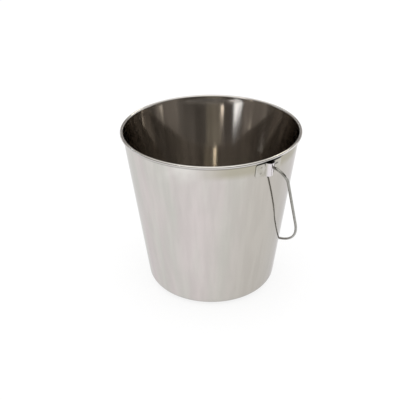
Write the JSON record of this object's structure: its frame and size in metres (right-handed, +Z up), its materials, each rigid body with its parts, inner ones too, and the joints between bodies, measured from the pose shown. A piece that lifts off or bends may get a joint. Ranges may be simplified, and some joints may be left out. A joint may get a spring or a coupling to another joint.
{
  "type": "milk pail",
  "caption": "Seamless tapered stainless steel milk pail with a rolled bead rim, spot-welded strap ears and a swinging wire bail.",
  "frame": {"origin": "on the pail's axis, level with the ring that it stands on", "axes": "+Z up along the pail's axis; X through both ears, along the bail's turning axis; +Y towards the side that the bail rests on"},
  "size_m": [0.304, 0.26, 0.2445],
  "materials": {
    "pail_steel": "polished to a near mirror, with faint drawn vertical bands",
    "ear_steel": "stamped and polished",
    "bail_wire": "smooth drawn stainless wire"
  },
  "bodies": {
    "pail": {"pail_shell": "pail_steel", "ear_right": "ear_steel", "ear_left": "ear_steel"},
    "bail": {"bail": "bail_wire"}
  },
  "joints": [
    {"name": "bail_swing", "type": "hinge", "parent": "pail", "child": "bail", "pos_m": [0, 0, 0.2295], "axis": [1, 0, 0], "range_deg": [0, 304.6]}
  ]
}
